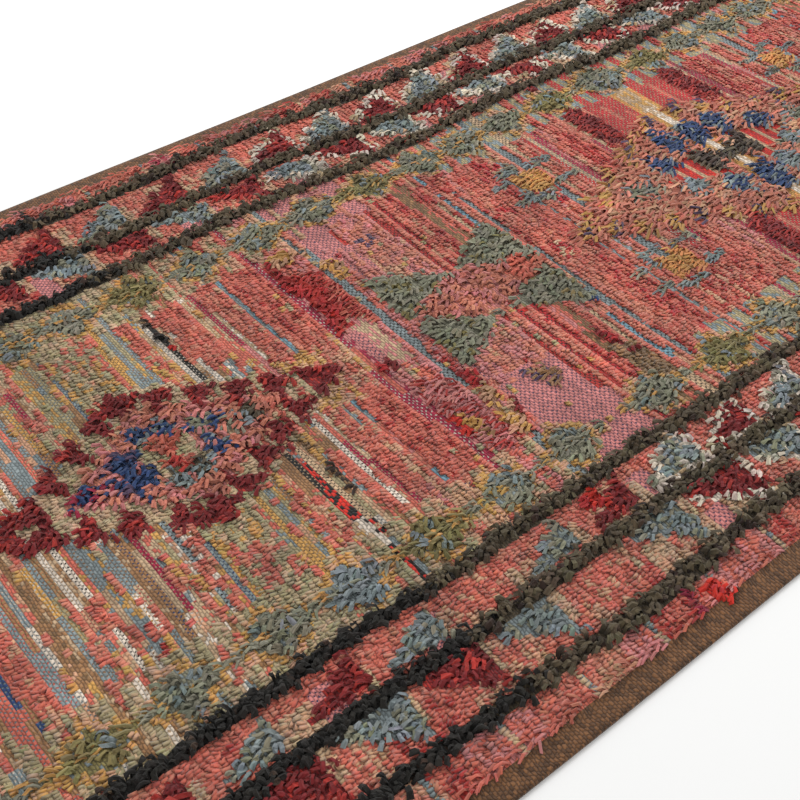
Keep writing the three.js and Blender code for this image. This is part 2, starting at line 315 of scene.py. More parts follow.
# its teeth in thousandths: flat base along the rug, outer corner across it, and how long each is
teeth = [
    (350, 98, -32), (312, 78, -32), (272, 56, -32), (235, 36, -32), (397, 96, 33), (436, 76, 33), (470, 56, 33),
    (508, 40, 33),
]
for side in (-1, 1):
    for flat, outer, length in np.array(teeth) / 1000:
        base = sorted((side * outer, side * (outer - 0.041)))
        paint(wedge(side * (outer - 0.013), base, flat + length, flat), cut, crimson, brick, 20)
    paint(lozenge(side * 0.095, 0.372, 0.021, 0.030), cut, crimson, brick, 25)
paint(wedge(0.0, (-0.022, 0.022), 0.600, 0.548), cut, crimson, brick, 30)
paint(wedge(0.0, (-0.028, 0.028), 0.180, 0.203), cut, crimson, brick, 30)

# hourglass of four sage triangles and a rose lozenge
for side in (-1, 1):
    for tip, base in ((0.808, 0.896), (0.790, 0.700)):
        edges = sorted((side * 0.003, side * 0.098))
        paint(wedge(side * 0.048, edges, tip, base), cut, sage, oliveSage, 12)
paint(lozenge(0, 0.800, 0.046, 0.098), cut, salmon, rose)
paint(lozenge(0, 0.870, 0.030, 0.030), cut, coral, salmon, 30)
paint(lozenge(0.090, 0.890, 0.006, 0.010), cut, navy, navy, 0)
paint(box(-0.020, 0.014, 0.922, 0.945, 0.6), knot, red, cream, 50)

# middle medallion, of long yarn with a rim of gold, plum and salmon clumps
midMedallion = {"halfWidth": 0.148, "halfLength": 0.300, "rimAcross": 0.024, "rimAlong": 0.050, "longer": 1.35}
halfWidth, halfLength = midMedallion["halfWidth"], midMedallion["halfLength"]
medallion = lozenge(0, middle, halfWidth, halfLength)
rimless = lozenge(0, middle, halfWidth - midMedallion["rimAcross"], halfLength - midMedallion["rimAlong"])
rim = medallion & ~rimless
longer[medallion] = midMedallion["longer"]
spray[medallion] *= 1.5
wave = np.sin(alongAt * 130 + acrossAt * 110)
paint(medallion, shag, salmon, peach, 35)
paint(medallion & (wave < -0.3), shag, salmon, peach, 15)
paint(rim & (wave > 0.15), shag, gold, peach, 25)
paint(rim & (wave > 0.88), shag, plum, gold, 35)
paint(rim & (wave <= 0.15), shag, salmon, coral, 20)
centre = [
    (-10, 1100, 20, 40, sage, greyBlue), (-36, 1160, 24, 22, navy, greyBlue), (22, 1160, 24, 26, greyBlue, sage),
    (-68, 1205, 32, 24, navy, greyBlue), (54, 1205, 26, 28, greyBlue, navy),
]
for *place, main, other in centre:
    paint(lozenge(*np.array(place) / 1000), shag, main, other, 25)
redCore = wedge(-0.008, (-0.052, 0.038), 1.128, 1.227)
paint(redCore, plain, scarlet, red, 30)
paint(redCore & (np.arange(courses)[:, None] % 3 == 0), plain, cream, peach)
paint(medallion & (mirrored > 1.229), plain, gold, orange, 35)
paint(medallion & (mirrored > 1.2445), plain, white, cream)
for x0 in (0.070, -0.070):
    paint(lozenge(x0, 1.243, 0.030, 0.014), shag, navy, greyBlue, 20)
fromMiddle = np.abs(alongAt - middle)
figure = np.abs(acrossAt + 0.008) < 0.005 + 0.5 * fromMiddle
paint(figure & (fromMiddle < 0.045), shag, darkBrown, olive, 30)

# comb figures on its flanks: a block and six arms
arms = [(-0.026, 0.035), (0.020, 0.040), (-0.016, -0.038), (0.024, -0.036), (-0.034, -0.012), (0.036, -0.010)]
for x0, y0 in ((-0.125, 1.002), (0.112, 1.018)):
    paint(box(x0 - 0.021, x0 + 0.021, y0 - 0.022, y0 + 0.022, 0.5), shag, orange, gold, 45)
    for dx, dy in arms:
        x, y = x0 + dx, y0 + dy
        paint(box(x - 0.004, x + 0.004, y - 0.018, y + 0.018, 0.2), shag, greyBlue, sage)

# borders between the dark rows: right-angled triangles, flat at the top and narrowing to the foot
borders = [
    {"foot": -0.378, "far": -0.427, "top": 0.635, "pitch": 0.0850, "first": 0, "blocks": ()},
    {"foot": -0.348, "far": -0.312, "top": 0.637, "pitch": 0.0825, "first": 1, "blocks": ()},
    {"foot": 0.346, "far": 0.308, "top": 0.705, "pitch": 0.0850, "first": 0, "blocks": (-2,)},
    {"foot": 0.374, "far": 0.417, "top": 0.810, "pitch": 0.0865, "first": 0, "blocks": (-2,)},
]
borderPlan = {"edge": 0.012, "groundStep": 0.028, "triangle": 0.067, "outlinedFrom": 0.735, "lastTop": 2.47}
grounds = [
    (knot, coral, salmon, 30), (knot, coral, brick, 30), (knot, peach, coral), (knot, coral, salmon, 30),
    (knot, cream, peach), (dots, rose, plum), (knot, coral, peach),
]
bandDice = np.random.default_rng(8)
for band in borders:
    foot, far = band["foot"], band["far"]
    inner, outer = sorted((foot, far))
    strip = (acrossAt > inner - borderPlan["edge"]) & (acrossAt < outer + borderPlan["edge"])
    paint(strip, knot, coral, salmon, 30)
    for start in np.arange(0.02, chartPlan["bordersEnd"], borderPlan["groundStep"]):
        looks = grounds[bandDice.integers(0, len(grounds))]
        cutAt = inner + (outer - inner) * bandDice.uniform(0.0, 0.7)
        near = np.abs(alongAt + 0.3 * edgeDrift - start) < borderPlan["groundStep"] / 2
        paint(strip & (acrossAt > cutAt) & near, *looks)
    reach = (acrossAt - foot) / (far - foot)     # 0 at the foot side, 1 at the far side
    for k in range(-int((band["top"] - 0.03) / band["pitch"]) - 1, 40):
        top = band["top"] + k * band["pitch"]
        if top > borderPlan["lastTop"]:
            break
        length = borderPlan["triangle"]
        t = (alongAt - (top - length)) / length
        inside = (t > 0) & (t <= 1) & (reach > -0.08) & (reach <= t + 0.04)
        spray[inside] = 0.6 * reach[inside] * np.sign(far - foot)
        if min(top, 2 * middle - top) > borderPlan["outlinedFrom"]:
            outline = (t > 0.0) & (t <= 1.11) & (reach > -0.1) & (reach <= t + 0.26) & strip
            paint(outline & ~inside, cut, white, cream, 15)
        else:
            paint((t > 1) & (t < 1.14) & (reach > -0.1) & (reach < 0.6) & strip, knot, cream, peach)
        if k in band["blocks"]:
            paint(strip & (t > 0.1) & (t <= 0.9), knot, coral, peach, 25)
        elif (k + band["first"]) % 2 == 0:
            paint(inside, cut, crimson, brick, 30)
        else:
            paint(inside, cut, greyBlue, sage, 30)
paint(box(0.309, 0.328, 0.650, 0.672, 0.2, False), cut, scarlet, red)

# strips beyond the outer rows: low knots, with a shaggy margin that falls over the selvage
outerPairs = [(coral, salmon), (rose, coral), (coral, brick), (salmon, peach), (coral, rose)]
for side, margin in ((-1, 0.458), (1, 0.471)):
    strip = side * acrossAt > chartPlan["outerStrip"]
    paint(strip, knot, coral, salmon, 35)
    for start in np.arange(0.03, chartPlan["bordersEnd"], 0.034):
        pair = outerPairs[bandDice.integers(0, 5)]
        spot = strip & (np.abs(alongAt + 0.4 * edgeDrift - start) < 0.017)
        paint(spot, knot, *pair, 35)
        paint(spot & (side * acrossAt > margin), shag, *pair, 35)
    paint(strip & (np.sin(alongAt * 75 + side) > 0.95), knot, cream, greyBlue, 50)
# single tufts there: side, from how far out, along, half its length, kind, two wools, share
singles = [
    (-1, 0.440, 0.648, 0.017, shag, rose, magenta, 30), (1, 0.452, 0.675, 0.010, cut, scarlet, red, 20),
    (1, 0.440, 0.645, 0.004, shag, magenta, crimson, 30), (-1, 0.440, 0.452, 0.004, shag, black, black, 0),
]
for side, x0, y0, half, *looks in singles:
    paint((side * acrossAt > x0) & (np.abs(alongAt - y0) < half), *looks)

# dark rows: place across and half width; each wanders a little and is black towards the ends
ragRows = [(-0.444, 0.0080), (-0.363, 0.0068), (-0.299, 0.0062), (0.295, 0.0062), (0.360, 0.0068), (0.4335, 0.0078)]
rowPlan = {"wander": 0.0022, "waves": 14, "blackUpTo": 0.46, "blackVaries": 0.03}


def rowLine(n, alongHere):   # the middle of a dark row
    return ragRows[n][0] + rowPlan["wander"] * np.sin(alongHere * rowPlan["waves"] + n)


for n, row in enumerate(ragRows):
    onRow = np.abs(acrossAt - rowLine(n, alongAt)) < row[1]
    paint(onRow, rope, olive, darkBrown, 12)
    blackUpTo = rowPlan["blackUpTo"] + rowPlan["blackVaries"] * np.sin(n * 2.1)
    paint(onRow & (mirrored < blackUpTo), rope, black, darkBrown, 15)

print("chart woven:", courses, "courses of", beads, "knots")


def linear(hexColour):
    channels = [int(hexColour[k:k + 2], 16) / 255 for k in (1, 3, 5)]
    return [c / 12.92 if c <= 0.04045 else ((c + 0.055) / 1.055) ** 2.4 for c in channels]


linearWool = np.array([linear(colour) for colour in wool.values()])


def smooth(low, high, value):
    t = np.clip((value - low) / (high - low), 0, 1)
    return t * t * (3 - 2 * t)


def warped(x, y):   # the place of a chart point once the cloth has been beaten up by hand
    edge = rugWidth / 2
    inner = edge - rugCloth["selvage"]
    wide = edge - rugCloth["edgeWander"] * (0.5 - 0.5 * np.cos(6 * np.pi * y / rugLength))
    free = 1 - smooth(inner - 0.02, inner + 0.004, np.abs(x))
    ends = 1 - smooth(rugLength / 2 - 0.12, rugLength / 2 - 0.03, np.abs(y))
    px = x * wide / edge + rugCloth["rowWander"] * np.sin(y / 0.083) * free
    wave = np.sin(x * 5.2 + 1.6 * np.sin(y * 3.1)) + 0.4 * np.sin(x * 17 + y * 11)
    return px, y + rugCloth["weftWave"] * wave * ends


columns = np.concatenate([
    np.linspace(-rugWidth / 2, -fieldWidth / 2, rugCloth["selvageBeads"] + 1)[:-1],
    np.linspace(-fieldWidth / 2, fieldWidth / 2, beads + 1),
    np.linspace(fieldWidth / 2, rugWidth / 2, rugCloth["selvageBeads"] + 1)[1:],
])
rows = np.concatenate([
    np.linspace(-rugLength / 2, -fieldLength / 2, rugCloth["webCourses"] + 1)[:-1],
    np.linspace(-fieldLength / 2, fieldLength / 2, courses + 1),
    np.linspace(fieldLength / 2, rugLength / 2, rugCloth["webCourses"] + 1)[1:],
])
acrossCount, alongCount = len(columns) - 1, len(rows) - 1

rowStep = 6      # the underside has one row of faces for six above

mottle = 1 + drift(7, 0.16, 5) + drift(2.5, 0.12, 6) + dice.normal(0, 0.05, (courses, 1))   # uneven dyeing


def padded(chart, border):   # the chart again, with the selvages and end webs round it
    edge, web = rugCloth["selvageBeads"], rugCloth["webCourses"]
    return np.pad(chart, ((web, web), (edge, edge)), constant_values=border)


firstAll, secondAll = padded(first, edgeBrown), padded(second, edgeDark)
mottleAll, shareAll, dottedAll = padded(mottle, 1.0), padded(share, 0.35), padded(dotted, 0.0)


def clothTop(x, y):   # height of the woven face
    inner = rugWidth / 2 - rugCloth["selvage"]
    innerEnd = rugLength / 2 - rugCloth["endWeb"]
    inField = 1 - smooth(inner - 0.002, inner + 0.004, np.abs(x))
    inField = inField * (1 - smooth(innerEnd - 0.002, innerEnd + 0.004, np.abs(y)))
    uneven = 0.0006 * np.sin(x * 38 + 2 * np.sin(y * 9)) * np.cos(y * 27 + x * 5)
    return rugCloth["edgeThick"] + (rugCloth["fieldThick"] - rugCloth["edgeThick"]) * inField + uneven * inField


def addObject(name, data):
    made = bpy.data.objects.new(name, data)
    bpy.context.scene.collection.objects.link(made)
    return made


def setData(mesh, name, form, key, values, domain="POINT"):
    mesh.attributes.new(name, form, domain).data.foreach_set(key, np.asarray(values).ravel())


def buildCloth():
    gridX, gridY = np.meshgrid(columns, rows)
    px, py = warped(gridX, gridY)
    top = np.stack([px, py, clothTop(gridX, gridY)], -1).reshape(-1, 3)
    wide = acrossCount + 1
    underRows = list(range(0, alongCount, rowStep)) + [alongCount]
    under = np.stack([px[underRows], py[underRows], np.zeros((len(underRows), wide))], -1).reshape(-1, 3)
    base = len(top)
    faces, cells = [], []
    for j in range(alongCount):
        for i in range(acrossCount):
            a = j * wide + i
            faces.append((a, a + 1, a + wide + 1, a + wide))
            cells.append((j, i))
    for n in range(len(underRows) - 1):
        for i in range(acrossCount):
            a = base + n * wide + i
            faces.append((a, a + wide, a + wide + 1, a + 1))
            cells.append((min(underRows[n] + 1, alongCount - 1), i))
    for i in range(acrossCount):
        last = alongCount * wide
        lastUnder = base + (len(underRows) - 1) * wide
        faces.append((base + i, base + i + 1, i + 1, i))
        faces.append((lastUnder + i + 1, lastUnder + i, last + i, last + i + 1))
        cells += [(0, i), (alongCount - 1, i)]
    for n in range(len(underRows) - 1):
        near, far = underRows[n], underRows[n + 1]
        left = [base + n * wide] + [k * wide for k in range(near, far + 1)] + [base + (n + 1) * wide]
        right = [base + n * wide + acrossCount] + [k * wide + acrossCount for k in range(near, far + 1)]
        right += [base + (n + 1) * wide + acrossCount]
        faces.append(tuple(left))
        faces.append(tuple(reversed(right)))
        cells += [(near, 0), (near, acrossCount - 1)]
    mesh = bpy.data.meshes.new("wovenCloth")
    mesh.from_pydata(np.concatenate([top, under]).tolist(), [], faces)
    # weave coordinates: one unit across is a bead, one unit along is a pick
    beadOf = np.tile(np.arange(wide), alongCount + 1)
    pickOf = np.repeat(np.arange(alongCount + 1), wide) * 2
    beadOf = np.concatenate([beadOf, np.tile(np.arange(wide), len(underRows))])
    pickOf = np.concatenate([pickOf, np.repeat(np.array(underRows) * 2, wide)])
    loopVertex = np.zeros(len(mesh.loops), int)
    mesh.loops.foreach_get("vertex_index", loopVertex)
    sizes = np.array([len(f) for f in faces])
    cell = np.repeat(np.array(cells), sizes, axis=0)
    j, i = cell[:, 0], cell[:, 1]
    # towards the ends the weft is finer
    fineness = np.where(np.abs(j - alongCount / 2) * coursePitch / rugWidth > 0.71, 1.3, 1.0)
    uv = np.stack([beadOf[loopVertex] * fineness, pickOf[loopVertex]], -1).astype(np.float32)
    mesh.uv_layers.new(name="weave").data.foreach_set("uv", uv.ravel())
    for name, which, extra in (("woolOne", firstAll, shareAll), ("woolTwo", secondAll, dottedAll)):
        colour = np.concatenate([linearWool[which[j, i]] * mottleAll[j, i][:, None], extra[j, i][:, None]], 1)
        setData(mesh, name, "FLOAT_COLOR", "color", colour, "CORNER")
    mesh.polygons.foreach_set("use_smooth", np.ones(len(mesh.polygons), bool))
    return addObject("wovenCloth", mesh)


def addNode(tree, kindName, links=(), **settings):   # a node with its settings, and its inputs linked or filled
    node = tree.nodes.new(kindName)
    for key, value in settings.items():
        setattr(node, key, value)
    for key, value in dict(links).items():
        if isinstance(value, bpy.types.NodeSocket):
            tree.links.new(value, node.inputs[key])
        else:
            node.inputs[key].default_value = value
    return node


def newMaterial(name):
    material = bpy.data.materials.new(name)
    material.use_nodes = True
    material.node_tree.nodes.clear()
    return material, material.node_tree


def maths(tree, operation, a, b=0.0, c=0.0):
    return addNode(tree, "ShaderNodeMath", {0: a, 1: b, 2: c}, operation=operation).outputs[0]


def noise(tree, place, scale, detail, **more):
    return addNode(tree, "ShaderNodeTexNoise", {"Vector": place, "Scale": scale, "Detail": detail, **more}).outputs[0]


def mapRange(tree, value, fromLow, fromHigh, toLow, toHigh):
    links = {0: value, 1: fromLow, 2: fromHigh, 3: toLow, 4: toHigh}
    return addNode(tree, "ShaderNodeMapRange", links).outputs[0]


def tint(tree, colour, amount):   # colour times a grey
    grey = addNode(tree, "ShaderNodeCombineColor", {0: amount, 1: amount, 2: amount}).outputs[0]
    mix = addNode(tree, "ShaderNodeMix", {0: 1.0, 6: colour, 7: grey}, data_type="RGBA", blend_type="MULTIPLY")
    return mix.outputs[2]


def bumpOf(tree, height, distance):
    return addNode(tree, "ShaderNodeBump", {"Height": height, "Distance": distance, "Strength": 1.0}).outputs[0]


def finishMaterial(tree, colour, normal, roughness, sheen):
    shader = addNode(tree, "ShaderNodeBsdfPrincipled", {
        "Base Color": colour, "Roughness": roughness, "IOR": 1.5, "Specular IOR Level": 0.25,
        "Sheen Weight": sheen, "Sheen Roughness": 0.6, "Normal": normal})
    addNode(tree, "ShaderNodeOutputMaterial", {"Surface": shader.outputs[0]})


weaveLook = {
    "paintedGapShade": 0.55, "dotSize": 0.54, "beadHeight": 0.0014, "fuzzScale": 700.0, "roughness": 0.93, "sheen": 0.12,
    "wobble": 0.35, "jitter": 0.16,       # how far picks and floats stray, in picks and beads
    "floatShade": (0.78, 1.18), "fuzzShade": (0.86, 1.12),
}


def wovenWool():   # weft-faced weave: staggered floats, each one bead wide and one pick high
    material, tree = newMaterial("wovenWool")
    uv = addNode(tree, "ShaderNodeUVMap", uv_map="weave").outputs[0]
    u, v = addNode(tree, "ShaderNodeSeparateXYZ", {0: uv}).outputs[:2]
    wobble, jitter = weaveLook["wobble"], weaveLook["jitter"]
    v = maths(tree, "ADD", v, mapRange(tree, noise(tree, uv, 0.35, 1.0), 0.3, 0.7, -wobble, wobble))
    u = maths(tree, "ADD", u, mapRange(tree, noise(tree, uv, 1.3, 1.0), 0.3, 0.7, -jitter, jitter))
    pick = maths(tree, "FLOOR", v)
    parity = maths(tree, "FLOORED_MODULO", pick, 2.0)
    shifted = maths(tree, "MULTIPLY_ADD", parity, 0.5, u)
    bead = maths(tree, "FLOOR", shifted)
    humpAcross = maths(tree, "SINE", maths(tree, "MULTIPLY", maths(tree, "FRACT", shifted), math.pi))
    humpAlong = maths(tree, "SINE", maths(tree, "MULTIPLY", maths(tree, "FRACT", v), math.pi))
    hump = maths(tree, "POWER", maths(tree, "MULTIPLY", humpAcross, humpAlong), 0.7)
    place = addNode(tree, "ShaderNodeCombineXYZ", {0: bead, 1: pick, 2: 0.5}).outputs[0]
    chance = addNode(tree, "ShaderNodeTexWhiteNoise", {"Vector": place}, noise_dimensions="3D")
    one = addNode(tree, "ShaderNodeAttribute", attribute_name="woolOne")
    two = addNode(tree, "ShaderNodeAttribute", attribute_name="woolTwo")
    # loose: some floats are of the other wool; spots: it shows as dots between the floats
    dotPlace = maths(tree, "ADD", humpAcross, maths(tree, "SUBTRACT", 1.0, humpAlong))
    spots = maths(tree, "LESS_THAN", dotPlace, weaveLook["dotSize"])
    loose = maths(tree, "LESS_THAN", chance.outputs["Value"], one.outputs["Alpha"])
    useTwo = maths(tree, "MULTIPLY_ADD", maths(tree, "SUBTRACT", spots, loose), two.outputs["Alpha"], loose)
    wools = {0: useTwo, 6: one.outputs["Color"], 7: two.outputs["Color"]}
    base = addNode(tree, "ShaderNodeMix", wools, data_type="RGBA").outputs[2]
    own = addNode(tree, "ShaderNodeSeparateColor", {0: chance.outputs["Color"]}).outputs[1]
    here = addNode(tree, "ShaderNodeTexCoord").outputs["Object"]
    fuzz = noise(tree, here, weaveLook["fuzzScale"], 2.0)
    # painted shade in the gaps between the floats and a faint painted highlight on their crests, then a random tone per
    # float and per fibre
    paintedShadeAndTone = mapRange(tree, hump, 0.10, 0.75, weaveLook["paintedGapShade"], 1.06)
    paintedShadeAndTone = maths(tree, "MULTIPLY", paintedShadeAndTone, mapRange(tree, own, 0, 1, *weaveLook["floatShade"]))
    paintedShadeAndTone = maths(tree, "MULTIPLY", paintedShadeAndTone, mapRange(tree, fuzz, 0.3, 0.7, *weaveLook["fuzzShade"]))
    relief = maths(tree, "ADD", hump, mapRange(tree, fuzz, 0.3, 0.7, 0.0, 0.25))
    bump = bumpOf(tree, relief, weaveLook["beadHeight"])
    finishMaterial(tree, tint(tree, base, paintedShadeAndTone), bump, weaveLook["roughness"], weaveLook["sheen"])
    return material


# fibres: how fine across and along a strip and how deep, then the painted shade at the root and the random tone of the
# fibres
pileLook = {
    "knots": {"across": 900.0, "along": 120.0, "relief": 0.0009, "paintedRootShade": 0.95, "fibreShade": (0.88, 1.11),
              "roughness": 0.95, "sheen": 0.25},
    "yarn": {"across": 800.0, "along": 90.0, "relief": 0.0010, "paintedRootShade": 0.72, "fibreShade": (0.82, 1.16),
             "roughness": 0.92, "sheen": 0.25},
    "rag": {"across": 620.0, "along": 55.0, "relief": 0.0022, "paintedRootShade": 0.72, "fibreShade": (0.72, 1.20),
            "roughness": 0.86, "sheen": 0.12},
    "row": {"across": 520.0, "along": 50.0, "relief": 0.0028, "paintedRootShade": 0.5, "fibreShade": (0.72, 1.26),
            "roughness": 0.88, "sheen": 0.10},
}


def pileWool(name, look):   # strands that run along each tuft, darker at the root
    material, tree = newMaterial(name)
    strand = addNode(tree, "ShaderNodeAttribute", attribute_name="strand").outputs["Vector"]
    across, tip, along = addNode(tree, "ShaderNodeSeparateXYZ", {0: strand}).outputs
    here = addNode(tree, "ShaderNodeTexCoord").outputs["Object"]
    fine, lengthwise = maths(tree, "MULTIPLY", across, look["across"]), maths(tree, "MULTIPLY", along, look["along"])
    stretched = addNode(tree, "ShaderNodeCombineXYZ", {0: fine, 1: lengthwise, 2: 0.0}).outputs[0]
    own = addNode(tree, "ShaderNodeVectorMath", {0: here, 1: (40.0, 40.0, 0.0)}, operation="MULTIPLY").outputs[0]
    fibreAt = addNode(tree, "ShaderNodeVectorMath", {0: stretched, 1: own}, operation="ADD").outputs[0]
    fibre = noise(tree, fibreAt, 1.0, 3.0, Roughness=0.6)
    colour = addNode(tree, "ShaderNodeAttribute", attribute_name="wool").outputs["Color"]
    # painted shade: each strip darker towards its root, where the other tufts shade it, then a random tone along the
    # fibres
    paintedShadeAndTone = mapRange(tree, tip, 0.0, 0.5, look["paintedRootShade"], 1.0)
    paintedShadeAndTone = maths(tree, "MULTIPLY", paintedShadeAndTone, mapRange(tree, fibre, 0.3, 0.7, *look["fibreShade"]))
    bump = bumpOf(tree, fibre, look["relief"])
    finishMaterial(tree, tint(tree, colour, paintedShadeAndTone), bump, look["roughness"], look["sheen"])
    return material


def tuftMesh(name, sections):   # closed tubes; each is a list of rings of points and strand places
    verts, faces, strand = [], [], []
    for rings in sections:
        start = len(verts)
        sides = len(rings[0][0])
        for points, places in rings:
            verts += points
            strand += places
        for r in range(len(rings) - 1):
            for k in range(sides):
                a = start + r * sides + k
                b = start + r * sides + (k + 1) % sides
                faces.append((a, b, b + sides, a + sides))
        faces.append(tuple(start + k for k in reversed(range(sides))))
        faces.append(tuple(start + (len(rings) - 1) * sides + k for k in range(sides)))
    mesh = bpy.data.meshes.new(name)
    mesh.from_pydata(verts, [], faces)
    setData(mesh, "strand", "FLOAT_VECTOR", "vector", np.array(strand, np.float32))
    return mesh


def foldedStrip(rand, size, lean, at):   # rises from its root, falls over towards -Y and ends ragged
    length = rand.uniform(*size["length"])
    lift = rand.uniform(*size["lift"])
    ridge, rings = size["ridge"], size["rings"]
    side = rand.uniform(-0.3, 0.3)
    out = []
    for r in range(rings):
        t = r / (rings - 1)
        reach = length * t ** 1.15
        x, y = at + math.sin(lean) * reach, -math.cos(lean) * reach
        z = lift * math.sin(min(2.3 * t + 0.25, 2.75)) if r else -0.0012
        if r:      # crumpled sideways and up
            x += rand.uniform(-1, 1) * size["crumple"]
            z = max(z + rand.uniform(-1, 1) * size["crumple"], 0.0006)
        w = size["width"] + (size["tip"] - size["width"]) * t
        h = ridge * (1 - 0.45 * t)
        tilt = rand.uniform(-1, 1) * size["twist"] * (r > 0)
        ring, places = [], []
        for cornerX, cornerZ in ((-w / 2, 0.0), (w / 2, 0.0), (w * side, h)):
            turnedX = cornerX * math.cos(tilt) - cornerZ * math.sin(tilt)
            turnedZ = cornerX * math.sin(tilt) + cornerZ * math.cos(tilt)
            drop = rand.uniform(-0.15, 0.15) * length * (r == rings - 1)
            ring.append((x + turnedX * math.cos(lean), y + turnedX * math.sin(lean) + drop, z + turnedZ))
            places.append((cornerX, t, reach))
        out.append((ring, places))
    return out


# strips of each kind of tuft, in metres; fan is the turn between neighbouring strips, in radians
tuftKinds = {
    "knots": {"variants": 8, "seed": 21, "strips": 2, "fan": 0.2, "apart": 0.0044, "length": (0.0076, 0.0102),
              "width": 0.0058, "tip": 0.0054, "ridge": 0.0027, "lift": (0.0008, 0.0020), "rings": 2, "twist": 0.4,
              "crumple": 0.0},
    "yarn": {"variants": 16, "seed": 22, "strips": 2, "fan": 0.35, "apart": 0.0042, "length": (0.0125, 0.0200),
             "width": 0.0038, "tip": 0.0032, "ridge": 0.0020, "lift": (0.0030, 0.0060), "rings": 3, "twist": 0.5,
             "crumple": 0.0004},
    "rag": {"variants": 18, "seed": 23, "strips": 2, "fan": 0.6, "apart": 0.0046, "length": (0.0115, 0.0175),
            "width": 0.0046, "tip": 0.0064, "ridge": 0.0028, "lift": (0.0032, 0.0066), "rings": 4, "twist": 0.9,
            "crumple": 0.0011},
    "row": {"variants": 18, "seed": 24, "strips": 2, "fan": 0.7, "apart": 0.0040, "length": (0.0100, 0.0150),
            "width": 0.0052, "tip": 0.0078, "ridge": 0.0032, "lift": (0.0078, 0.0104), "rings": 4, "twist": 0.9,
            "crumple": 0.0013},
}


def tuftShapes(kindName):
    size = tuftKinds[kindName]
    rand = np.random.default_rng(size["seed"])
    shapes = []
    for n in range(size["variants"]):
        parts = []
        for k in range(size["strips"]):
            place = k - (size["strips"] - 1) / 2
            lean = place * size["fan"] + rand.uniform(-0.2, 0.2)
            parts.append(foldedStrip(rand, size, lean, place * size["apart"]))
        shapes.append(tuftMesh(kindName + "Shape%d" % n, parts))
    return shapes


def tuftTree():   # places a picked tuft on each point, turned and sized by the point's own attributes
    tree = bpy.data.node_groups.new("tuftPlanting", "GeometryNodeTree")
    sockets = {"Geometry": "Geometry", "Tufts": "Collection", "Tuft scale": "Float", "Wool": "Material"}
    for name, form in sockets.items():
        tree.interface.new_socket(name, in_out="INPUT", socket_type="NodeSocket" + form)
    tree.interface.new_socket("Geometry", in_out="OUTPUT", socket_type="NodeSocketGeometry")
    given = addNode(tree, "NodeGroupInput").outputs
    shapes = addNode(tree, "GeometryNodeCollectionInfo", {
        "Collection": given["Tufts"], "Separate Children": True, "Reset Children": True})
    turn, size, pick = [
        addNode(tree, "GeometryNodeInputNamedAttribute", {"Name": name}, data_type=form).outputs[0]
        for name, form in (("turn", "FLOAT_VECTOR"), ("size", "FLOAT_VECTOR"), ("pick", "INT"))]
    turned = addNode(tree, "FunctionNodeEulerToRotation", {0: turn}).outputs[0]
    sized = addNode(tree, "ShaderNodeVectorMath", {0: size, "Scale": given["Tuft scale"]}, operation="SCALE").outputs[0]
    planted = addNode(tree, "GeometryNodeInstanceOnPoints", {
        "Points": given["Geometry"], "Instance": shapes.outputs[0], "Pick Instance": True, "Instance Index": pick,
        "Rotation": turned, "Scale": sized})
    real = addNode(tree, "GeometryNodeRealizeInstances", {0: planted.outputs[0]})
    dressed = addNode(tree, "GeometryNodeSetMaterial", {"Geometry": real.outputs[0], "Material": given["Wool"]})
    addNode(tree, "NodeGroupOutput", {0: dressed.outputs[0]})
    return tree


plantingTree = tuftTree()


def plant(name, shapes, material, places, turns, sizes, colours, picks, smoothFaces):
    mesh = bpy.data.meshes.new(name + "Points")
    mesh.vertices.add(len(places))
    mesh.vertices.foreach_set("co", np.asarray(places, np.float32).ravel())
    setData(mesh, "turn", "FLOAT_VECTOR", "vector", turns.astype(np.float32))
    setData(mesh, "size", "FLOAT_VECTOR", "vector", sizes.astype(np.float32))
    setData(mesh, "pick", "INT", "value", picks.astype(np.int32))
    opaque = np.concatenate([colours, np.ones((len(colours), 1))], 1).astype(np.float32)
    setData(mesh, "wool", "FLOAT_COLOR", "color", opaque)
    source = addObject(name + "Points", mesh)
    group = bpy.data.collections.new(name + "Shapes")
    bpy.context.scene.collection.children.link(group)
    shapeObjects = [bpy.data.objects.new(name + "Shape%02d" % n, shape) for n, shape in enumerate(shapes)]
    for one in shapeObjects:
        group.objects.link(one)
    modifier = source.modifiers.new("planting", "NODES")
    modifier.node_group = plantingTree
    inputs = {item.name: item.identifier for item in plantingTree.interface.items_tree if item.in_out == "INPUT"}
    modifier[inputs["Tufts"]] = group
    modifier[inputs["Tuft scale"]] = 1.0
    modifier[inputs["Wool"]] = material
    evaluated = source.evaluated_get(bpy.context.evaluated_depsgraph_get())
    result = bpy.data.meshes.new_from_object(evaluated)
    source.modifiers.clear()
    for one in shapeObjects:
        bpy.data.objects.remove(one)
    bpy.data.collections.remove(group)
    bpy.data.objects.remove(source)
    result.name = name
    result.polygons.foreach_set("use_smooth", np.full(len(result.polygons), smoothFaces))
    piece = addObject(name, result)
    result.calc_loop_triangles()
    print(name, len(places), "tufts,", len(result.loop_triangles), "triangles")
    return piece


def cellPlaces(mask, rand, perCell, spread):   # points at chart cells, on the face of the cloth
    j, i = np.nonzero(mask)
    keep = rand.random(len(j)) < perCell
    j, i = j[keep], i[keep]
    x = (i + 0.5 + rand.uniform(-spread, spread, len(i)) - beads / 2) * beadPitch
    y = (j + 0.5 + rand.uniform(-spread, spread, len(i)) - courses / 2) * coursePitch
    return j, i, x, y


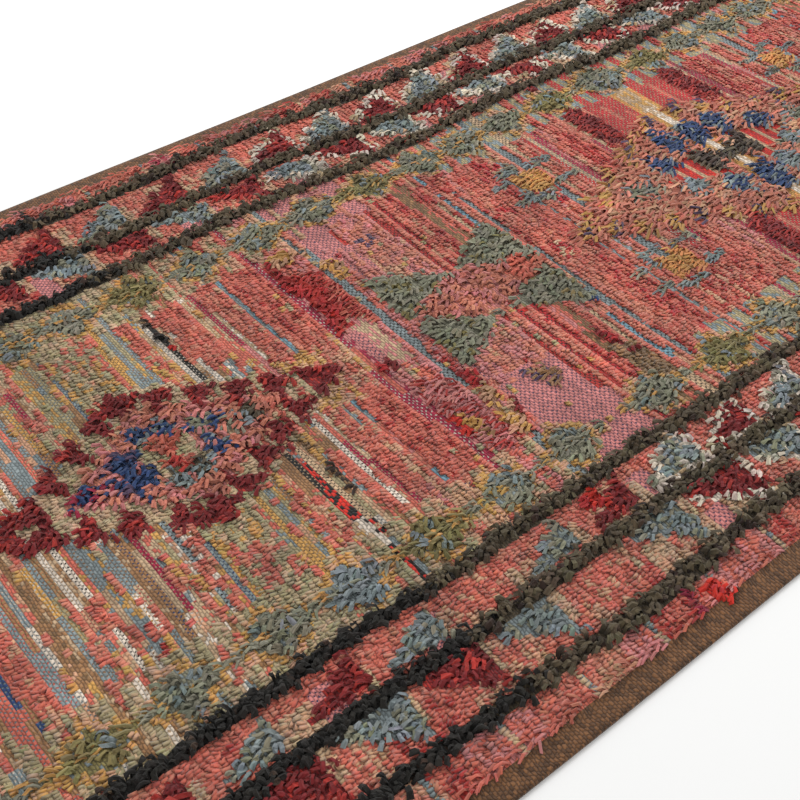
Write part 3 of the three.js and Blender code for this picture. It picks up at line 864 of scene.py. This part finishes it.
def rowPlaces(rand, spacing):   # points along the dark rows, scattered across each
    xs, ys = [], []
    for n, row in enumerate(ragRows):
        y = np.arange(-fieldLength / 2 + 0.006, fieldLength / 2 - 0.004, spacing)
        y = y + rand.uniform(-0.3, 0.3, len(y)) * spacing
        x = rowLine(n, middle + y / rugWidth) * rugWidth
        x = x + rand.uniform(-1, 1, len(y)) * row[1] * rugWidth
        xs.append(x)
        ys.append(y)
    x, y = np.concatenate(xs), np.concatenate(ys)
    j = np.clip((y / coursePitch + courses / 2).astype(int), 0, courses - 1)
    i = np.clip((x / beadPitch + beads / 2).astype(int), 0, beads - 1)
    return j, i, x, y


hueSpread = 0.04


def cellColours(j, i, rand, spreadValue):
    useTwo = (rand.random(len(j)) < share[j, i]) & (dotted[j, i] < 0.5)
    base = linearWool[np.where(useTwo, second[j, i], first[j, i])]
    # painted shade: yarn and rag tufts darker where neighbouring fans meet
    paintedFanGapShade = np.clip(np.abs(spray[j, i]) - 0.35, 0, 0.4) / 0.4 * (kind[j, i] >= shag)      # darker between the fans
    value = mottle[j, i][:, None] * (1 + rand.normal(0, spreadValue, (len(j), 1))) * (1 - 0.25 * paintedFanGapShade[:, None])
    return np.clip(base * value * (1 + rand.normal(0, hueSpread, (len(j), 3))), 0.002, 0.95)


def rowColours(y, rand):   # black rag at the ends of the rug, olive along the middle
    turnsBlack = 0.47 + rand.normal(0, 0.02, len(y))
    tone = np.where(middle - np.abs(y) / rugWidth < turnsBlack, black, olive)
    base = linearWool[np.where(rand.random(len(y)) < 0.08, darkBrown, tone)]
    value = 1 + rand.normal(0, 0.22, (len(y), 1))
    return np.clip(base * value * (1 + rand.normal(0, hueSpread, (len(y), 3))), 0.002, 0.95)


# how many tufts a cell of the chart gets and how far they stray, then how they are headed and sized
planting = {
    "knots": {"kind": knot, "perCell": 1.0, "spread": 0.18, "lean": 0.22, "turn": 0.0, "spray": 0.15, "back": 0.003,
              "size": (0.85, 1.2), "seed": 31},
    "yarn": {"kind": shag, "perCell": 0.95, "spread": 0.35, "lean": 0.28, "turn": 0.0, "spray": 0.6, "back": 0.005,
             "size": (0.85, 1.2), "seed": 32},
    "rag": {"kind": cut, "perCell": 0.60, "spread": 0.35, "lean": 0.45, "turn": 0.2, "spray": 0.9, "back": 0.005,
            "size": (0.85, 1.15), "seed": 33},
    "row": {"spacing": 0.0042, "forward": 0.75, "lean": 0.6, "turn": 0.0, "spray": 0.0, "back": 0.0,
            "size": (0.8, 1.2), "seed": 34},
}
materials = {
    "knots": pileWool("lowKnottedWool", pileLook["knots"]), "yarn": pileWool("shaggyYarn", pileLook["yarn"]),
    "rag": pileWool("cutRag", pileLook["rag"]), "row": pileWool("darkRag", pileLook["row"]),
}


def plantKind(kindName, pieceName):   # the near and the far half of the rug
    plan = planting[kindName]
    rand = np.random.default_rng(plan["seed"])
    shapes = tuftShapes(kindName)
    if kindName == "row":
        j, i, x, y = rowPlaces(rand, plan["spacing"])
    else:
        j, i, x, y = cellPlaces(kind == plan["kind"], rand, plan["perCell"], plan["spread"])
    px, py = warped(x, y + plan["back"])
    places = np.stack([px, py, clothTop(x, y)], -1)
    colours = rowColours(y, rand) if kindName == "row" else cellColours(j, i, rand, 0.09)
    heading = plan["turn"] + plan["spray"] * spray[j, i] + rand.normal(0, plan["lean"], len(j))
    if kindName == "row":
        alongRow = np.where(rand.random(len(j)) < plan["forward"], 0.0, math.pi)
        heading = alongRow + rand.normal(0, plan["lean"], len(j))
    turns = np.stack([*np.clip(rand.normal(0, 0.10, (2, len(j))), -0.16, 0.16), heading], -1)
    scale = rand.uniform(*plan["size"], (len(j), 1)) * longer[j, i][:, None]
    longways, upwards = rand.uniform(0.9, 1.1, (len(j), 1)), rand.uniform(0.85, 1.15, (len(j), 1))
    sizes = np.concatenate([scale, scale * longways, scale * upwards], 1)
    picks = rand.integers(0, len(shapes), len(j))
    far = places[:, 1] > 0
    made = []
    for name, part in ((pieceName + "Near", ~far), (pieceName + "Far", far)):
        made.append(plant(name, shapes, materials[kindName], places[part], turns[part], sizes[part], colours[part],
                          picks[part], kindName == "knots"))
    return made


cloth = buildCloth()
cloth.data.materials.append(wovenWool())
print("cloth woven")
pile = []
for kindName, pieceName in (("knots", "knots"), ("yarn", "yarnPile"), ("rag", "ragMotifs"), ("row", "ragRows")):
    pile += plantKind(kindName, pieceName)
print("pile planted")

studio = {
    "floor": "#f2f2f1", "floorSize": 14.0, "floorDrop": 0.0006, "skyStrength": 0.75,
    "keyPlace": (-1.6, 1.2, 3.0), "keySize": 2.4, "keyPower": 95.0,
    "cameraPlace": (1.083, -1.625, 1.219), "pitch": 44.017, "heading": 50.882, "lens": 56.76, "film": 36.0,
}


def buildStudio():
    half, low = studio["floorSize"] / 2, -studio["floorDrop"]
    mesh = bpy.data.meshes.new("studioFloor")
    corners = [(-half, -half, low), (half, -half, low), (half, half, low), (-half, half, low)]
    mesh.from_pydata(corners, [], [(0, 1, 2, 3)])
    floor = addObject("studioFloor", mesh)
    material, tree = newMaterial("paintedFloor")
    shader = addNode(tree, "ShaderNodeBsdfPrincipled", {
        "Base Color": (*linear(studio["floor"]), 1), "Roughness": 0.9, "Specular IOR Level": 0.1})
    addNode(tree, "ShaderNodeOutputMaterial", {"Surface": shader.outputs[0]})
    mesh.materials.append(material)
    world = bpy.data.worlds.new("softStudio")
    world.use_nodes = True
    sky = world.node_tree.nodes["Background"].inputs
    sky[0].default_value, sky[1].default_value = (1, 1, 1, 1), studio["skyStrength"]
    bpy.context.scene.world = world
    lamp = bpy.data.lights.new("keyLight", "AREA")
    lamp.size, lamp.energy = studio["keySize"], studio["keyPower"]
    key = addObject("keyLight", lamp)
    key.location = studio["keyPlace"]
    direction = -np.array(studio["keyPlace"]) / np.linalg.norm(studio["keyPlace"])
    key.rotation_euler = (math.acos(-direction[2]), 0, math.atan2(-direction[0], direction[1]))
    camera = addObject("photoCamera", bpy.data.cameras.new("photoCamera"))
    camera.data.lens, camera.data.sensor_width = studio["lens"], studio["film"]
    camera.location = studio["cameraPlace"]
    camera.rotation_euler = (math.radians(90 - studio["pitch"]), 0, math.radians(studio["heading"]))
    camera.data.clip_start, camera.data.clip_end = 0.01, 50
    bpy.context.scene.camera = camera
    bpy.context.scene.view_settings.view_transform = "Standard"


buildStudio()

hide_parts("rug")
for piece in [cloth] + pile:
    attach(piece, "root")

print("rug finished")
